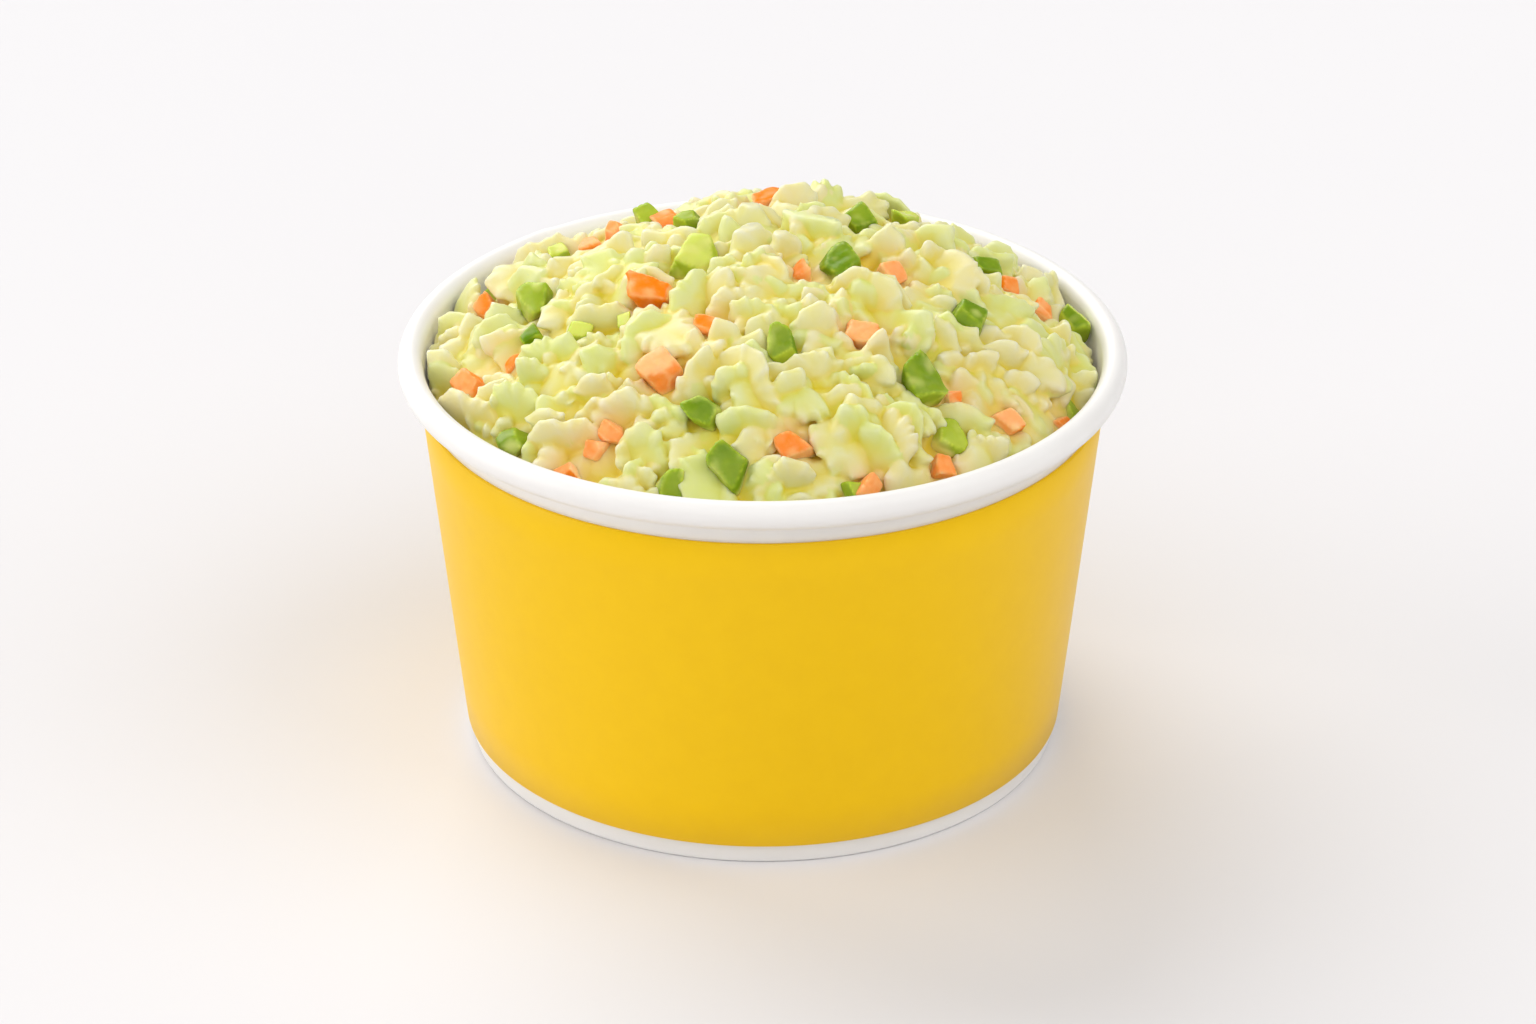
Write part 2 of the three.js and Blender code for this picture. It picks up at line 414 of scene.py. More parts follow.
def joined(parts):
    """Several (points, triangles) pairs as one pair of arrays."""
    starts = np.cumsum([0] + [len(points) for points, _ in parts])
    return (
        np.concatenate([points for points, _ in parts]),
        np.concatenate([triangles + start for (_, triangles), start in zip(parts, starts)]),
    )


def kept_inside(points):
    """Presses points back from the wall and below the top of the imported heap."""
    r = np.hypot(points[:, 0], points[:, 1])
    room = wall_inside(np.minimum(points[:, 2], bead_z)) - heap_gap
    share = np.minimum(1, room / np.maximum(r, 1e-9))
    points = points * np.stack([share, share, np.ones_like(share)], -1)
    points[:, 2] = np.minimum(points[:, 2], heap_high.z - heap_top_gap)
    return points


def write_attribute(mesh, name, values):
    attribute = mesh.attributes.get(name) or mesh.attributes.new(name, "FLOAT", "POINT")
    attribute.data.foreach_set("value", np.asarray(values, np.float32))


def read_attribute(mesh, name):
    values = np.empty(len(mesh.vertices), np.float32)
    mesh.attributes[name].data.foreach_get("value", values)
    return values


# ---- Coleslaw: carrot and green pepper -----------------------------------------------------------
# Raw carrot cut in small dice, and green pepper cut in larger uneven pieces, some showing their
# glossy skin and some their pale cut flesh. They are laid one by one, each listed with its x and y on the
# heap and its length in mm, its turn and its lean towards the front in degrees, how far it stands up
# in mm, and for pepper how pale it is.

carrot_dice = [
    (-13.9, -8.7, 5.7, 75, 14, 0.4),
    (-12.6, -23.1, 5.0, 40, 12, 0.6),
    (-7.0, -16.9, 3.3, 80, 25, 0.4),
    (-37.4, -11.0, 4.7, 30, 10, 0.3),
    (-19.2, -29.5, 3.4, 62, 10, 0.1),
    (-24.5, -32.6, 3.6, 20, 5, 0.0),
    (-21.0, -30.6, 2.8, 70, 20, -0.6),
    (0.3, 17.8, 3.8, 15, 20, 1.7),
    (12.4, -17.9, 4.4, 70, 18, 0.4),
    (16.8, -2.9, 3.5, 35, 25, 0.3),
    (3.5, -34.4, 4.4, 25, 8, 0.0),
    (31.4, -22.2, 3.7, 50, 15, 0.0),
    (22.6, -33.0, 3.6, 15, 5, 0.0),
    (13.2, -38.0, 3.7, 60, 5, 0.1),
    (36.2, 6.5, 3.6, 75, 30, 0.3),
    (32.3, 9.0, 3.6, 10, 25, 0.5),
    (39.0, -16.3, 3.4, 45, 20, -0.3),
    (-12.6, 20.5, 3.4, 30, 30, 0.5),
    (-19.3, 19.4, 3.2, 50, 30, 1.2),
    (-22.9, 18.6, 3.1, 10, 30, 0.6),
    (-32.4, -10.4, 3.1, 80, 20, -0.6),
    (-36.4, 9.8, 3.4, 40, 30, 0.4),
    (4.8, -5.0, 3.6, 20, 20, -0.5),
    (24.5, -22.5, 2.4, 10, 20, -0.7),
    (-6.0, 30.0, 3.9, 25, 0, 0.0),
    (14.0, 33.0, 3.6, 65, 0, 0.0),
    (26.0, 26.0, 4.0, 40, 0, 0.0),
    (-29.0, 29.0, 3.7, 5, 0, 0.0),
]
pepper_pieces = [
    (-8.2, -0.6, 7.0, 14, 24, 0.5, 0.95),
    (-29.2, 0.5, 5.8, 78, 30, 1.4, 0.55),
    (-29.8, -7.4, 3.4, 30, 25, 0.3, 0.15),
    (10.3, -3.3, 5.4, 20, 12, 0.4, 0.1),
    (12.4, 11.5, 4.7, 20, 30, 1.0, 0.2),
    (18.4, 19.5, 4.5, 30, 30, 1.7, 0.9),
    (29.0, 10.6, 4.2, 100, 30, 0.9, 0.15),
    (26.4, -9.0, 4.7, 65, 20, 1.2, 0.1),
    (2.2, -22.1, 5.3, 85, 12, 1.1, 0.3),
    (-7.6, -30.1, 4.8, 45, 10, 0.7, 0.15),
    (-4.0, -36.9, 5.6, 140, 8, 0.3, 0.25),
    (-31.8, -25.0, 4.6, 75, 10, 0.3, 0.3),
    (-11.2, -38.4, 4.5, 5, 5, 0.1, 0.4),
    (11.6, -39.0, 4.1, 10, 0, 0.4, 0.7),
    (20.0, -23.6, 6.5, 130, 15, 0.3, 0.2),
    (23.4, -28.9, 4.8, 110, 12, -0.5, 0.75),
    (-14.8, 22.0, 3.4, 40, 35, 1.6, 0.6),
    (-9.6, 14.5, 4.0, 75, 30, 0.9, 0.5),
    (-26.8, 20.0, 4.0, 30, 30, 1.3, 0.85),
    (40.4, 9.5, 4.5, 10, 20, 1.5, 0.95),
    (-17.7, -11.7, 3.0, 15, 20, 0.2, 0.95),
    (-23.2, -11.4, 4.2, 170, 22, 0.3, 0.95),
    (40.3, -12.6, 2.9, 60, 15, -0.5, 0.5),
    (2.0, 27.0, 4.2, 25, 0, 0.1, 0.3),
    (-12.0, 34.0, 4.3, 70, 0, 0.1, 0.4),
    (25.0, 33.0, 3.8, 10, 0, 0.1, 0.2),
    (-36.5, 19.0, 4.0, 50, 0, 0.1, 0.6),
]
side_off = (0.36, 0.54)  # how far the sides of a piece are cut off its middle, as shares of its size
corner_off = (0.46, 0.56)
broad_off = (0.28, 0.38)
cut_takeover = 40  # how sharply the colour of one cut gives way to the next
edge_from = 0.86  # two cuts nearer alike than this count as an edge
dent_pitch = 2.6 * mm
nick_pitch = 0.8 * mm
nick_share = 0.25
length_rounding = 1.08  # longest extent of a piece over its listed length


def round_ball(detail):
    """An icosphere of radius 1, as arrays."""
    ball = bmesh.new()
    bmesh.ops.create_icosphere(ball, subdivisions=detail, radius=1)
    mesh = bpy.data.meshes.new("ball")
    ball.to_mesh(mesh)
    ball.free()
    return mesh_arrays(mesh)


ball_points, ball_triangles = round_ball(4)


def cut_piece(rng, size, cuts, sharpness, wobble, bend=0.0):
    """A knife-cut piece: a ball pressed out to flat cuts, each a unit normal, how far off it is as a
    share of the size, and how pale it is. The edges between cuts are rounder for a lower sharpness.
    Returns its points, how pale each is, and how near a cut edge it is."""
    ways = np.array([cut[0] for cut in cuts])
    offs = np.array([cut[1] for cut in cuts])
    reach = np.clip(ball_points @ ways.T / offs, 1e-6, None)
    points = size * ball_points * ((reach**sharpness).sum(1) ** (-1 / sharpness))[:, None]
    owner = reach**cut_takeover / (reach**cut_takeover).sum(1)[:, None]
    pale = owner @ np.array([cut[2] for cut in cuts])
    two_nearest = np.sort(reach, axis=1)[:, -2:]
    alike = two_nearest[:, 0] / two_nearest[:, 1]
    near_edge = np.clip((alike - edge_from) / (1 - edge_from), 0, 1) ** 2
    shift = Vector(rng.uniform(-50, 50, 3))
    dents = [noise.noise_vector(Vector(p) / dent_pitch + shift) for p in points]
    nicks = [noise.noise_vector(Vector(p) / nick_pitch + shift) for p in points]
    points += wobble * size * np.array(dents) + nick_share * wobble * size * np.array(nicks)
    points[:, 2] += bend * points[:, 0] ** 2 / size
    return points * size * length_rounding / np.ptp(points, axis=0).max(), pale, near_edge


def unit(way):
    return np.array(way) / np.linalg.norm(way)


def dice_cuts(rng):
    """Six nearly square cuts, and one or two corners knocked off."""
    cuts = [
        (unit(sign * axis + rng.normal(0, 0.2, 3)), rng.uniform(*side_off), rng.uniform(0, 1))
        for axis in np.eye(3)
        for sign in (-1, 1)
    ]
    corners = rng.integers(1, 3)
    return cuts + [(unit(rng.normal(0, 1, 3)), rng.uniform(*corner_off), 0.3) for _ in range(corners)]


def wall_cuts(rng, pale):
    """Two broad faces, skin and flesh, and four or five cuts across, all at uneven angles."""
    count = rng.integers(4, 6)
    around = np.linspace(0, 2 * math.pi, count, endpoint=False) + rng.uniform(-0.35, 0.35, count)
    cuts = []
    for a in around:
        across = unit((math.cos(a), math.sin(a), rng.normal(0, 0.3)))
        cuts.append((across, rng.uniform(*side_off), rng.uniform(0, 0.5) + 0.5 * pale))
    cuts.append((unit((*rng.normal(0, 0.16, 2), 1)), rng.uniform(*broad_off), pale))
    cuts.append((unit((*rng.normal(0, 0.16, 2), -1)), rng.uniform(*broad_off), 0.5))
    if rng.uniform() < 0.6:
        way = rng.normal(0, 1, 3)
        cuts.append((unit((way[0], way[1], 0.7)), rng.uniform(0.42, 0.5), rng.uniform(0, 0.7)))
    return cuts


def laid(points, x, y, turn, lean, proud):
    """Points of a piece set on the heap: turned on it, leant towards the front and raised."""
    stand = Vector((0, 0, 1)).rotation_difference(heap_normal(x, y)).to_matrix()
    place = np.array((x, y, float(heap_top(x, y)))) + proud * np.array(heap_normal(x, y))
    leant = Matrix.Rotation(math.radians(lean), 3, "X") @ stand
    pose = leant @ Matrix.Rotation(math.radians(turn), 3, "Z")
    return points @ np.array(pose).T + place


noise.seed_set(18)  # without it the dents of the pieces differ from run to run
rng = np.random.default_rng(5)
carrots, peppers = [], []
for x, y, size, turn, lean, proud in carrot_dice:
    points, pale, near_edge = cut_piece(rng, size * mm, dice_cuts(rng), sharpness=10, wobble=0.075)
    points = laid(points, x * mm, y * mm, turn, lean, proud * mm)
    carrots.append((points, pale, near_edge))
for x, y, size, turn, lean, proud, paleness in pepper_pieces:
    bend = rng.uniform(-0.25, 0.25)
    cuts = wall_cuts(rng, paleness)
    points, pale, near_edge = cut_piece(rng, size * mm, cuts, sharpness=11, wobble=0.06, bend=bend)
    points = laid(points, x * mm, y * mm, turn, lean, proud * mm)
    peppers.append((points, pale, near_edge))


def ragged(points, pitch):
    """Smooth random values, mostly from -0.5 to 0.5, of the given pitch."""
    return np.array([noise.noise(Vector(p) / pitch) for p in points])


def cut_vegetable(name, cut, creamed, roughness, glow_radius, fleck):
    """Wet cut flesh, in a strong and a pale colour that the cuts mix and that the edges lighten as a painted
    highlight, under films of cream.
    """
    material, tree, output = new_material(name)
    place = add_node(tree, "ShaderNodeTexCoord").outputs["Object"]
    flecks = add_node(tree, "ShaderNodeTexNoise", {"Vector": place, "Scale": 1 / fleck, "Detail": 4.0})
    pale = add_node(tree, "ShaderNodeAttribute", attribute_name="pale").outputs["Fac"]
    shifted = add_node(tree, "ShaderNodeMath", {0: flecks.outputs["Fac"], 1: -0.5}, operation="ADD")
    share = add_node(
        tree, "ShaderNodeMath", {0: shifted.outputs[0], 1: 0.7, 2: pale}, operation="MULTIPLY_ADD"
    )
    flesh = add_node(
        tree,
        "ShaderNodeMix",
        {"Factor": share.outputs[0], "A": linear(cut[0]), "B": linear(cut[1])},
        data_type="RGBA",
    )
    film = add_node(tree, "ShaderNodeAttribute", attribute_name="film").outputs["Fac"]
    coated = add_node(
        tree,
        "ShaderNodeMix",
        {"Factor": film, "A": flesh.outputs["Result"], "B": linear(creamed)},
        data_type="RGBA",
    )
    relief = add_node(
        tree, "ShaderNodeBump", {"Strength": 0.25, "Distance": 0.1 * mm, "Height": flecks.outputs["Fac"]}
    )
    shader = add_node(
        tree,
        "ShaderNodeBsdfPrincipled",
        {
            "Base Color": coated.outputs["Result"],
            "Roughness": roughness,
            "IOR": 1.25,
            "Normal": relief.outputs["Normal"],
            "Subsurface Weight": 0.5,
            "Subsurface Scale": 1.0 * mm,
            "Subsurface Radius": glow_radius,
        },
    )
    tree.links.new(shader.outputs[0], output.inputs["Surface"])
    return material


# Carrot is dull where it is cut and shows its cells as fine flecks. Pepper is glossier, from its
# waxy skin, and its flecks are broad. Light glows through the edges of both, and the edges are also
# painted paler, as a painted highlight.
raw_carrot = cut_vegetable(
    "Raw carrot", ("#F28200", "#FCBC80"), "#F8D8A0", 0.38, glow_radius=(1.0, 0.45, 0.15), fleck=1.11 * mm
)
green_pepper = cut_vegetable(
    "Green pepper", ("#5E8200", "#BECA40"), "#E0E088", 0.26, glow_radius=(0.5, 1.0, 0.2), fleck=3.33 * mm
)

# Cream lies thick on a piece up to cream_line over the heap's mean surface, give or take the ragged
# edge, and is gone cream_fade higher up. It also lies in patches anywhere, and on the palest cuts.
cream_line = -1.3 * mm
cream_fade = 1.6 * mm
cream_raggedness = 1.4 * mm
raggedness_pitch = 1.8 * mm
patch_pitch = 2.4 * mm
thickest_cream = 0.9

# Each kind is listed with its name, pieces, material and how much paler its cut edges are painted, as a
# painted highlight.
for name, parts, material, edge_highlight_share in (
    ("carrot", carrots, raw_carrot, 0.6),
    ("green_pepper", peppers, green_pepper, 0.45),
):
    points, triangles = joined([(points, ball_triangles) for points, _, _ in parts])
    points = kept_inside(points)
    pale = np.concatenate([part[1] for part in parts])
    near_edge = np.concatenate([part[2] for part in parts])
    piece = add_piece(name, points, triangles, material, smooth_below=180)
    edge = cream_raggedness * ragged(points, raggedness_pitch)
    height = points[:, 2] - heap_top(points[:, 0], points[:, 1]) + edge
    sunk = 1 - np.clip((height - cream_line) / cream_fade, 0, 1)
    patches = np.clip(2.2 * ragged(points, patch_pitch) - 0.35, 0, 1)
    palest = np.clip(4 * pale - 3, 0, 1)
    film = 0.8 * sunk + 0.5 * patches + 0.45 * palest
    write_attribute(piece.data, "film", np.clip(film, 0, thickest_cream))
    # The cut edges are painted paler here: a painted highlight.
    write_attribute(piece.data, "pale", np.clip(pale + edge_highlight_share * near_edge, 0, 1))
    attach(piece, "root")

# ---- Coleslaw: cabbage ---------------------------------------------------------------------------
# White cabbage chopped to thick scraps of 5 to 11 mm with scalloped edges, of pale inner leaf and
# greener outer leaf, with small scraps between them. They are strewn over the dome and lean out from
# its crown, and the dressing fuses them to one skin round the carrot and pepper.

scallop_pitch = 2.5 * mm
leaf_spokes = 48
leaf_rings = (0.3, 0.52, 0.7, 0.84, 0.94, 1.0)  # as shares of the way from the middle to the edge
under_rings = (4, 1)  # which of those the plainer underside has, from its edge inwards
edge_warp_pitch = 5 * mm
edge_depth_pitch = 4 * mm
ruffle_pitch = 3 * mm


def waves(x, y, pitch, shift):
    """Smooth random waves of about the given pitch, mostly between -1 and 1."""
    return np.array([2 * noise.noise(Vector((a / pitch, b / pitch, 0)) + shift) for a, b in zip(x, y)])


def ring_faces(rows, spokes):
    """Triangles that join rows of spokes points, each row a start index, faces out for rows listed
    from the middle of the top, over the edge, to the middle of the bottom."""
    i = np.arange(spokes)
    j = (i + 1) % spokes
    strips = []
    for a, b in zip(rows, rows[1:]):
        strips += [np.stack([a + i, b + i, b + j], -1), np.stack([a + i, b + j, a + j], -1)]
    return np.concatenate(strips)


def top_faces(middle, row, spokes):
    """Triangles that close a row of spokes points round a middle point, facing up."""
    i = np.arange(spokes)
    return np.stack([np.full(spokes, middle), row + i, row + (i + 1) % spokes], -1)


def bottom_faces(middle, row, spokes):
    """The same, facing down."""
    return top_faces(middle, row, spokes)[:, [0, 2, 1]]


def leaf_bit(rng, reach, thickness, scallop, ruffle, curl):
    """A scrap of chopped leaf: an uneven polygon in plan with a scalloped or a toothed edge, which runs
    in over its faces as low ridges. Returns its points and triangles."""
    corners = rng.integers(3, 6)
    angles = np.linspace(0, 2 * math.pi, leaf_spokes, endpoint=False)
    sector = 2 * math.pi / corners
    polygon = math.cos(sector / 2) / np.cos((angles + rng.uniform(0, 6)) % sector - sector / 2)
    outline = reach * (0.4 + 0.7 * polygon) * (1 + 0.2 * np.sin(2 * angles + rng.uniform(0, 6)))
    edge_shift, depth_shift, ruffle_shift = [Vector(rng.uniform(-50, 50, 3)) for _ in range(3)]
    x, y = outline * np.cos(angles), outline * np.sin(angles)
    count = max(3, round(math.pi * outline.mean() / scallop_pitch))
    lobes = np.abs(np.sin(count * angles + 2.2 * waves(x, y, edge_warp_pitch, edge_shift))) ** 0.8
    if rng.uniform() < 0.5:
        lobes = 1 - lobes
    lobes *= np.clip(0.7 + 0.6 * waves(x, y, edge_depth_pitch, depth_shift), 0.2, 1.3)
    outline = outline + scallop * (lobes - 0.4)
    bend = rng.uniform(0, math.pi)
    upper, lower = [], []
    for share in leaf_rings:
        x, y = share * outline * np.cos(angles), share * outline * np.sin(angles)
        across = x * math.cos(bend) + y * math.sin(bend)
        lift = curl * across**2 / reach + ruffle * waves(x, y, ruffle_pitch, ruffle_shift)
        ridge = 0.45 * scallop * share**2 * (lobes - 0.5)
        half_thick = 0.5 * thickness * (1 - share**5) ** 0.5
        upper.append(np.stack([x, y, lift + ridge + half_thick], -1))
        lower.append(np.stack([x, y, lift + 0.5 * ridge - half_thick], -1))
    rings = upper + [lower[ring] for ring in under_rings]
    points = np.concatenate([*rings, [(0, 0, thickness / 2), (0, 0, -thickness / 2)]])
    rows = [leaf_spokes * row for row in range(len(rings))]
    triangles = [
        top_faces(len(points) - 2, rows[0], leaf_spokes),
        ring_faces(rows, leaf_spokes),
        bottom_faces(len(points) - 1, rows[-1], leaf_spokes),
    ]
    return points, np.concatenate(triangles)


def bit_collection(name, made):
    """A collection of template bits."""
    holder = bpy.data.collections.new(name)
    for i, (points, triangles) in enumerate(made):
        mesh = bpy.data.meshes.new(f"{name}_{i:02d}")
        mesh.from_pydata(points.tolist(), [], triangles.tolist())
        holder.objects.link(bpy.data.objects.new(mesh.name, mesh))
    return holder


def random_bits(count, reach, thickness):
    """Bits whose reach from the middle and thickness lie in the given ranges, in mm."""
    for _ in range(count):
        yield leaf_bit(
            rng,
            reach=rng.uniform(*reach) * mm,
            thickness=rng.uniform(*thickness) * mm,
            scallop=rng.uniform(0.5, 0.95) * mm,
            ruffle=rng.uniform(0.1, 0.35) * mm,
            curl=rng.uniform(-0.1, 0.15),
        )


pale_bits = bit_collection("pale_leaf_bit", random_bits(20, (3.0, 4.8), (1.4, 2.2)))
green_bits = bit_collection("green_leaf_bit", random_bits(16, (3.0, 4.9), (1.4, 2.2)))
small_bits = bit_collection("small_leaf_bit", random_bits(14, (1.7, 2.7), (1.4, 2.1)))

# Bits keep a clearance from the listed carrot and pepper, and lie deeper within their nest reach of it. Each
# faces the dome's normal plus the lean, which swings over to the other side between the two turning
# lines behind the crown, and is then tilted and rolled a little and turned any way.
scatter = bpy.data.node_groups.new("Strew bits on the heap", "GeometryNodeTree")
for name, kind in (
    ("Dome", "NodeSocketGeometry"),
    ("Bits", "NodeSocketCollection"),
    ("Keep clear of", "NodeSocketObject"),
    ("Clearance", "NodeSocketFloat"),
    ("Nest reach", "NodeSocketFloat"),
    ("Nest depth", "NodeSocketFloat"),
    ("Spacing", "NodeSocketFloat"),
    ("Most to the square metre", "NodeSocketFloat"),
    ("Most tilt", "NodeSocketFloat"),
    ("Most roll", "NodeSocketFloat"),
    ("Lean", "NodeSocketVector"),
    ("Turning starts at", "NodeSocketFloat"),
    ("Turning ends at", "NodeSocketFloat"),
    ("Smallest", "NodeSocketFloat"),
    ("Largest", "NodeSocketFloat"),
    ("Highest", "NodeSocketFloat"),
    ("Lowest", "NodeSocketFloat"),
    ("Seed", "NodeSocketInt"),
    ("Finish", "NodeSocketMaterial"),
):
    scatter.interface.new_socket(name, in_out="INPUT", socket_type=kind)
scatter.interface.new_socket("Strewn", in_out="OUTPUT", socket_type="NodeSocketGeometry")
given = add_node(scatter, "NodeGroupInput").outputs
spots = add_node(
    scatter,
    "GeometryNodeDistributePointsOnFaces",
    {
        "Mesh": given["Dome"],
        "Distance Min": given["Spacing"],
        "Density Max": given["Most to the square metre"],
        "Seed": given["Seed"],
    },
    distribute_method="POISSON",
)
laid_by_hand = add_node(
    scatter, "GeometryNodeObjectInfo", {"Object": given["Keep clear of"]}, transform_space="RELATIVE"
)
near = add_node(
    scatter, "GeometryNodeProximity", {0: laid_by_hand.outputs["Geometry"]}, target_element="FACES"
)
crowded = add_node(
    scatter,
    "FunctionNodeCompare",
    {0: near.outputs["Distance"], 1: given["Clearance"]},
    data_type="FLOAT",
    operation="LESS_THAN",
)
cleared = add_node(
    scatter,
    "GeometryNodeDeleteGeometry",
    {"Geometry": spots.outputs["Points"], "Selection": crowded.outputs[0]},
    domain="POINT",
)
height = add_node(
    scatter,
    "FunctionNodeRandomValue",
    {2: given["Lowest"], 3: given["Highest"], "Seed": given["Seed"]},
    data_type="FLOAT",
)
nest = add_node(
    scatter,
    "ShaderNodeMapRange",
    {"Value": near.outputs["Distance"], 1: 0.0, 2: given["Nest reach"], 3: given["Nest depth"], 4: 0.0},
)
nested = add_node(
    scatter, "ShaderNodeMath", {0: height.outputs[1], 1: nest.outputs[0]}, operation="SUBTRACT"
)
shift = add_node(
    scatter,
    "ShaderNodeVectorMath",
    {0: spots.outputs["Normal"], "Scale": nested.outputs[0]},
    operation="SCALE",
)
settled_spots = add_node(
    scatter, "GeometryNodeSetPosition", {"Geometry": cleared.outputs[0], "Offset": shift.outputs[0]}
)
least_tilt = add_node(scatter, "ShaderNodeMath", {0: given["Most tilt"], 1: 0.4}, operation="MULTIPLY")
least_roll = add_node(scatter, "ShaderNodeMath", {0: given["Most roll"], 1: -1.0}, operation="MULTIPLY")
low_turn = add_node(
    scatter,
    "ShaderNodeCombineXYZ",
    {"X": least_tilt.outputs[0], "Y": least_roll.outputs[0], "Z": -math.pi},
)
high_turn = add_node(
    scatter, "ShaderNodeCombineXYZ", {"X": given["Most tilt"], "Y": given["Most roll"], "Z": math.pi}
)
spin = add_node(
    scatter,
    "FunctionNodeRandomValue",
    {0: low_turn.outputs[0], 1: high_turn.outputs[0], "Seed": given["Seed"]},
    data_type="FLOAT_VECTOR",
)
spot = add_node(scatter, "GeometryNodeInputPosition")
depth = add_node(scatter, "ShaderNodeSeparateXYZ", {"Vector": spot.outputs[0]})
side = add_node(
    scatter,
    "ShaderNodeMapRange",
    {
        "Value": depth.outputs["Y"],
        1: given["Turning starts at"],
        2: given["Turning ends at"],
        3: 1.0,
        4: -1.0,
    },
)
outwards = add_node(
    scatter, "ShaderNodeVectorMath", {0: given["Lean"], "Scale": side.outputs[0]}, operation="SCALE"
)
faced = add_node(
    scatter, "ShaderNodeVectorMath", {0: spots.outputs["Normal"], 1: outwards.outputs[0]}, operation="ADD"
)
leaning = add_node(
    scatter, "FunctionNodeAlignRotationToVector", {"Factor": 1.0, "Vector": faced.outputs[0]}, axis="Z"
)
tilted = add_node(
    scatter,
    "FunctionNodeRotateRotation",
    {0: leaning.outputs[0], 1: spin.outputs[0]},
    rotation_space="LOCAL",
)
which = add_node(
    scatter,
    "GeometryNodeCollectionInfo",
    {"Collection": given["Bits"], "Separate Children": True, "Reset Children": True},
)
size = add_node(
    scatter,
    "FunctionNodeRandomValue",
    {2: given["Smallest"], 3: given["Largest"], "Seed": 7},
    data_type="FLOAT",
)
copies = add_node(
    scatter,
    "GeometryNodeInstanceOnPoints",
    {
        "Points": settled_spots.outputs[0],
        "Instance": which.outputs[0],
        "Pick Instance": True,
        "Rotation": tilted.outputs[0],
        "Scale": size.outputs[1],
    },
)
shade = add_node(scatter, "FunctionNodeRandomValue", {2: 0.0, 3: 1.0, "Seed": 11}, data_type="FLOAT")
toned = add_node(
    scatter,
    "GeometryNodeStoreNamedAttribute",
    {"Geometry": copies.outputs[0], "Name": "tone", "Value": shade.outputs[1]},
    data_type="FLOAT",
    domain="INSTANCE",
)
real = add_node(scatter, "GeometryNodeRealizeInstances", {0: toned.outputs[0]})
finished = add_node(
    scatter, "GeometryNodeSetMaterial", {"Geometry": real.outputs[0], "Material": given["Finish"]}
)
made = add_node(scatter, "NodeGroupOutput")
scatter.links.new(finished.outputs[0], made.inputs[0])


def evaluated_mesh(piece):
    """The piece's mesh with its modifiers applied."""
    graph = bpy.context.evaluated_depsgraph_get()
    return bpy.data.meshes.new_from_object(
        piece.evaluated_get(graph), preserve_all_data_layers=True, depsgraph=graph
    )


def with_nodes(piece, tree, values):
    """The mesh that a node tree makes of a piece, with its inputs given by name."""
    modifier = piece.modifiers.new(tree.name, "NODES")
    modifier.node_group = tree
    for item in tree.interface.items_tree:
        if item.in_out == "INPUT" and item.name in values:
            modifier[item.identifier] = values[item.name]
    mesh = evaluated_mesh(piece)
    piece.modifiers.remove(modifier)
    return mesh


# The flesh is painted cream on the crests and yellow, then olive, down in the hollows, as painted shade
# where less light reaches. Each scrap has its own mix of white and green leaf, and carrot juice tinges
# what lies next to the carrot. The dressing wets it all to a soft gloss.
cabbage_flesh, tree, output = new_material("Chopped white cabbage in dressing")
leaf_cloud = 3.85 * mm
leaf_crease = 0.909 * mm
place = add_node(tree, "ShaderNodeTexCoord").outputs["Object"]
tone, hollow, deep, blush = [
    add_node(tree, "ShaderNodeAttribute", attribute_name=name).outputs["Fac"]
    for name in ("tone", "hollow", "deep", "blush")
]
clouds = add_node(tree, "ShaderNodeTexNoise", {"Vector": place, "Scale": 1 / leaf_cloud, "Detail": 3.0})
evened = add_node(tree, "ShaderNodeMath", {0: clouds.outputs["Fac"], 1: -0.5}, operation="ADD")
greenness = add_node(
    tree, "ShaderNodeMath", {0: evened.outputs[0], 1: 0.6, 2: tone}, operation="MULTIPLY_ADD"
)
crest = add_node(
    tree,
    "ShaderNodeMix",
    {"Factor": greenness.outputs[0], "A": linear("#D8D4BC"), "B": linear("#CDD3A3")},
    data_type="RGBA",
)
flank = add_node(
    tree,
    "ShaderNodeMix",
    {"Factor": greenness.outputs[0], "A": linear("#E3D23A"), "B": linear("#D2D72C")},
    data_type="RGBA",
)
# Painted shade: the hollows between a scrap's ridges take the deeper flank colour and the crests the pale
# crest colour.
lit = add_node(
    tree,
    "ShaderNodeMix",
    {"Factor": hollow, "A": crest.outputs["Result"], "B": flank.outputs["Result"]},
    data_type="RGBA",
)
# Painted shade: the gaps between scraps and the skin low on the heap are darkened to mustard.
sunk = add_node(
    tree,
    "ShaderNodeMix",
    {"Factor": deep, "A": lit.outputs["Result"], "B": linear("#DEC416")},
    data_type="RGBA",
)
tinged = add_node(
    tree,
    "ShaderNodeMix",
    {"Factor": blush, "A": sunk.outputs["Result"], "B": linear("#F2BE8C")},
    data_type="RGBA",
)
creases = add_node(tree, "ShaderNodeTexNoise", {"Vector": place, "Scale": 1 / leaf_crease, "Detail": 3.0})
relief = add_node(
    tree, "ShaderNodeBump", {"Strength": 0.25, "Distance": 0.12 * mm, "Height": creases.outputs["Fac"]}
)
shader = add_node(
    tree,
    "ShaderNodeBsdfPrincipled",
    {
        "Base Color": tinged.outputs["Result"],
        "Roughness": 0.32,
        "IOR": 1.36,
        "Normal": relief.outputs["Normal"],
        "Subsurface Weight": 0.6,
        "Subsurface Scale": 1.6 * mm,
        "Subsurface Radius": (1.0, 0.95, 0.5),
    },
)
tree.links.new(shader.outputs[0], output.inputs["Surface"])


def turned_dome(radius, height, rings, spokes):
    """Points and triangles of an open dome over the tub, given its height at any x and y."""
    points = [(0, 0, height(0, 0))]
    for ring in range(1, rings + 1):
        r = radius * ring / rings
        for a in np.linspace(0, 2 * math.pi, spokes, endpoint=False):
            x, y = r * math.cos(a), r * math.sin(a)
            points.append((x, y, height(x, y)))
    rows = [1 + spokes * ring for ring in range(rings)]
    triangles = [top_faces(0, rows[0], spokes), ring_faces(rows, spokes)]
    return np.array(points), np.concatenate(triangles)
